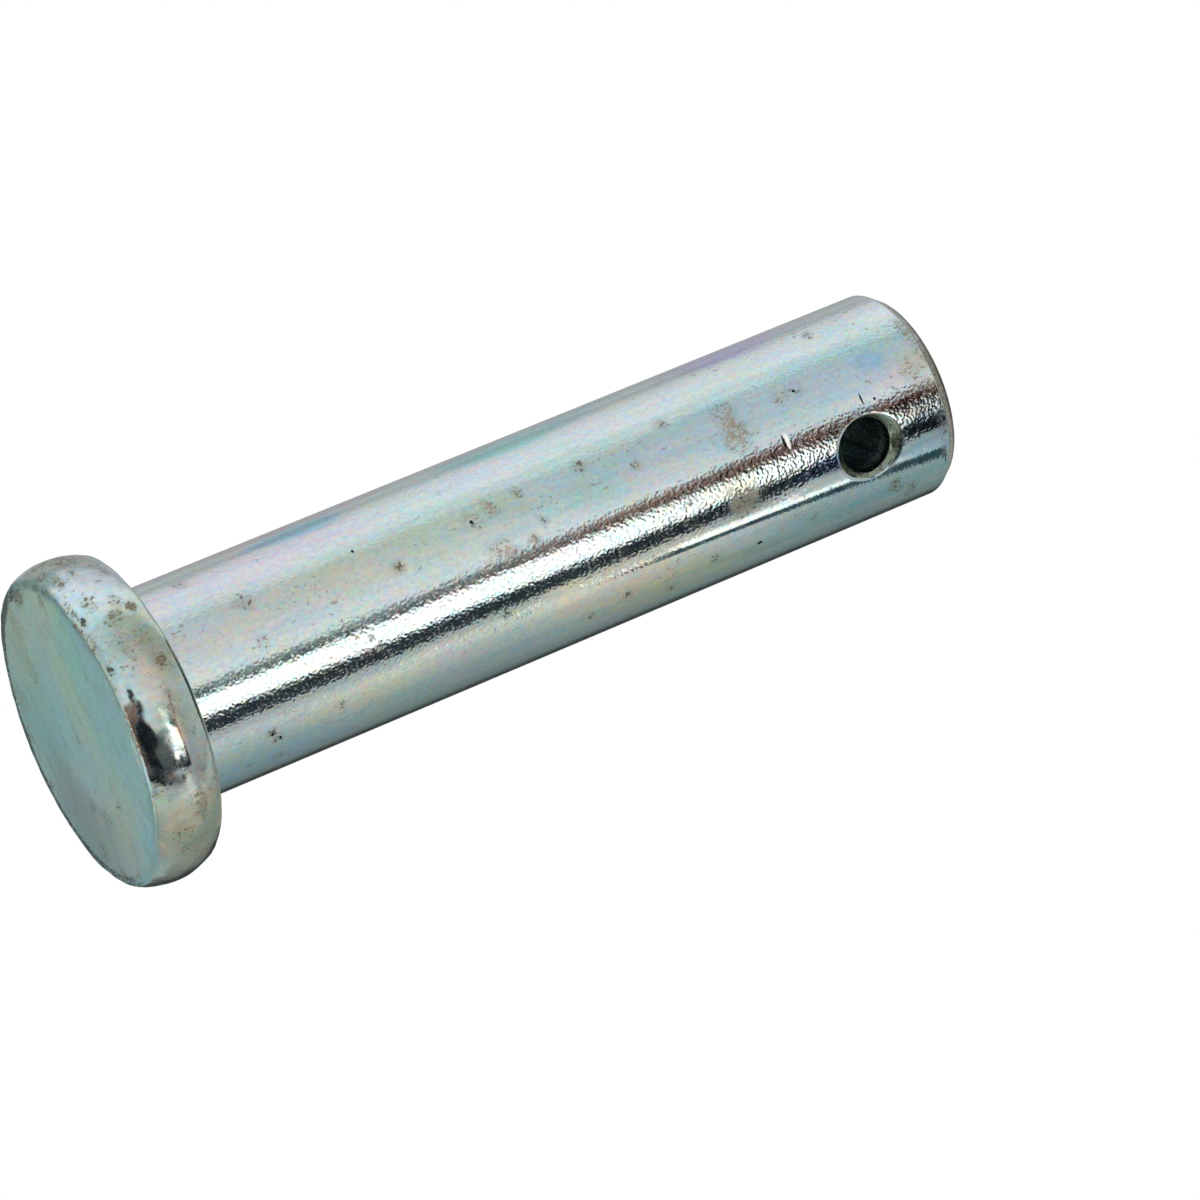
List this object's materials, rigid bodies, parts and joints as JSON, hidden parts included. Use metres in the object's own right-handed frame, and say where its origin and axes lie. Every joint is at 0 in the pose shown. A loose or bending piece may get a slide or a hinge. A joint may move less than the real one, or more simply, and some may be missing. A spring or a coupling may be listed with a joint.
{
  "type": "anchor pin",
  "caption": "Headed round pin with a chamfered tip and a countersunk cross hole for a split pin; it holds a lug, link or clevis on its shank.",
  "frame": {"origin": "centre of the outer face of the head, on the surface that the pin stands on", "axes": "+Z along the shank, from the head to the tip; Y along the cross hole"},
  "size_m": [0.0244, 0.0244, 0.0702],
  "materials": {
    "zinc_plate": "zinc-plated steel with a thin pale blue-green chromate film, fine streaks along the shank, small brown stains and nicks"
  },
  "bodies": {
    "root": {"anchor_pin": "zinc_plate"}
  },
  "joints": []
}
